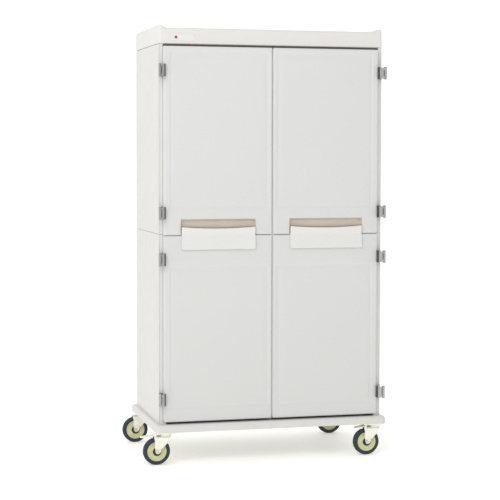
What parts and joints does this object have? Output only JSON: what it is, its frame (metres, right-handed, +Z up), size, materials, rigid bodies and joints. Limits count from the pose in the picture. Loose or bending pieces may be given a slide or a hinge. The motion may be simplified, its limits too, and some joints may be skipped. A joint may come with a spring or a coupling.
{
  "type": "mobile storage cabinet",
  "caption": "Tall two-door plastic storage cabinet on swivel casters, with a bumper base, recessed pull handles, shelves inside and a raised-corner top tray.",
  "frame": {"origin": "on the floor under the middle of the overall bounding box", "axes": "+Z up, -Y out of the doors, +X to the right seen from the front; casters trail towards -X"},
  "size_m": [1.194, 0.675, 2.04],
  "materials": {
    "door_plastic": "fine-grained satin",
    "wall_plastic": "fine-grained satin",
    "cap_plastic": "fine-grained satin",
    "base_plastic": "fine-grained satin",
    "bumper_plastic": "satin",
    "inner_plastic": "satin",
    "shelf_plastic": "satin",
    "catch_plastic": "satin",
    "grip_plastic": "smooth satin",
    "pocket_plastic": "satin",
    "plate_plastic": "smooth",
    "hub_plastic": "satin",
    "guard_plastic": "satin",
    "tread_rubber": "matt",
    "stainless": "brushed",
    "pin_steel": "turned",
    "zinc": "bright zinc plating"
  },
  "bodies": {
    "cabinet": {"base_deck": "base_plastic", "base_bumper": "bumper_plastic", "top_cap": "cap_plastic", "ceiling_panel": "inner_plastic", "name_plate": "plate_plastic", "left_wall_lower": "wall_plastic", "left_wall_upper": "wall_plastic", "right_wall_lower": "wall_plastic", "right_wall_upper": "wall_plastic", "back_panel_lower": "wall_plastic", "back_panel_upper": "wall_plastic", "center_divider": "inner_plastic", "left_shelf_1": "shelf_plastic", "left_shelf_2": "shelf_plastic", "left_shelf_3": "shelf_plastic", "right_shelf_1": "shelf_plastic", "right_shelf_2": "shelf_plastic", "right_shelf_3": "shelf_plastic", "hinge_brackets": "stainless", "hinge_pins": "pin_steel", "hinge_screws": "pin_steel", "door_catches": "catch_plastic", "caster_plates": "zinc", "caster_bolts": "pin_steel"},
    "left_door": {"left_door_upper_panel": "door_plastic", "left_door_lower_panel": "door_plastic", "left_door_liner": "inner_plastic", "left_handle_grip": "grip_plastic", "left_handle_pocket": "pocket_plastic", "left_hinge_leaves": "stainless", "left_strike_plates": "pin_steel"},
    "right_door": {"right_door_upper_panel": "door_plastic", "right_door_lower_panel": "door_plastic", "right_door_liner": "inner_plastic", "right_handle_grip": "grip_plastic", "right_handle_pocket": "pocket_plastic", "right_hinge_leaves": "stainless", "right_strike_plates": "pin_steel"},
    "front_left_swivel": {"front_left_fork": "zinc", "front_left_axle": "pin_steel"},
    "front_left_wheel": {"front_left_hub": "hub_plastic", "front_left_tread": "tread_rubber", "front_left_guard": "guard_plastic"},
    "front_left_brake": {"front_left_pedal": "zinc"},
    "front_right_swivel": {"front_right_fork": "zinc", "front_right_axle": "pin_steel"},
    "front_right_wheel": {"front_right_hub": "hub_plastic", "front_right_tread": "tread_rubber", "front_right_guard": "guard_plastic"},
    "front_right_brake": {"front_right_pedal": "zinc"},
    "rear_left_swivel": {"rear_left_fork": "zinc", "rear_left_axle": "pin_steel"},
    "rear_left_wheel": {"rear_left_hub": "hub_plastic", "rear_left_tread": "tread_rubber", "rear_left_guard": "guard_plastic"},
    "rear_right_swivel": {"rear_right_fork": "zinc", "rear_right_axle": "pin_steel"},
    "rear_right_wheel": {"rear_right_hub": "hub_plastic", "rear_right_tread": "tread_rubber", "rear_right_guard": "guard_plastic"}
  },
  "joints": [
    {"name": "left_door_hinge", "type": "hinge", "parent": "cabinet", "child": "left_door", "pos_m": [-0.5115, -0.336, 1], "axis": [0, 0, -1], "range_deg": [0, 270]},
    {"name": "right_door_hinge", "type": "hinge", "parent": "cabinet", "child": "right_door", "pos_m": [0.5795, -0.336, 1], "axis": [0, 0, 1], "range_deg": [0, 270]},
    {"name": "front_left_swivel_turn", "type": "hinge", "parent": "cabinet", "child": "front_left_swivel", "pos_m": [-0.479, -0.29, 0.14], "axis": [0, 0, 1], "continuous": true},
    {"name": "front_left_wheel_spin", "type": "hinge", "parent": "front_left_swivel", "child": "front_left_wheel", "pos_m": [-0.52, -0.29, 0.0635], "axis": [0, 1, 0], "continuous": true},
    {"name": "front_left_brake_press", "type": "hinge", "parent": "front_left_swivel", "child": "front_left_brake", "pos_m": [-0.529, -0.29, 0.1395], "axis": [0, -1, 0], "range_deg": [0, 10]},
    {"name": "front_right_swivel_turn", "type": "hinge", "parent": "cabinet", "child": "front_right_swivel", "pos_m": [0.547, -0.29, 0.14], "axis": [0, 0, 1], "continuous": true},
    {"name": "front_right_wheel_spin", "type": "hinge", "parent": "front_right_swivel", "child": "front_right_wheel", "pos_m": [0.506, -0.29, 0.0635], "axis": [0, 1, 0], "continuous": true},
    {"name": "front_right_brake_press", "type": "hinge", "parent": "front_right_swivel", "child": "front_right_brake", "pos_m": [0.497, -0.29, 0.1395], "axis": [0, -1, 0], "range_deg": [0, 10]},
    {"name": "rear_left_swivel_turn", "type": "hinge", "parent": "cabinet", "child": "rear_left_swivel", "pos_m": [-0.475, 0.29, 0.14], "axis": [0, 0, 1], "continuous": true},
    {"name": "rear_left_wheel_spin", "type": "hinge", "parent": "rear_left_swivel", "child": "rear_left_wheel", "pos_m": [-0.516, 0.29, 0.0635], "axis": [0, 1, 0], "continuous": true},
    {"name": "rear_right_swivel_turn", "type": "hinge", "parent": "cabinet", "child": "rear_right_swivel", "pos_m": [0.543, 0.29, 0.14], "axis": [0, 0, 1], "continuous": true},
    {"name": "rear_right_wheel_spin", "type": "hinge", "parent": "rear_right_swivel", "child": "rear_right_wheel", "pos_m": [0.502, 0.29, 0.0635], "axis": [0, 1, 0], "continuous": true}
  ]
}
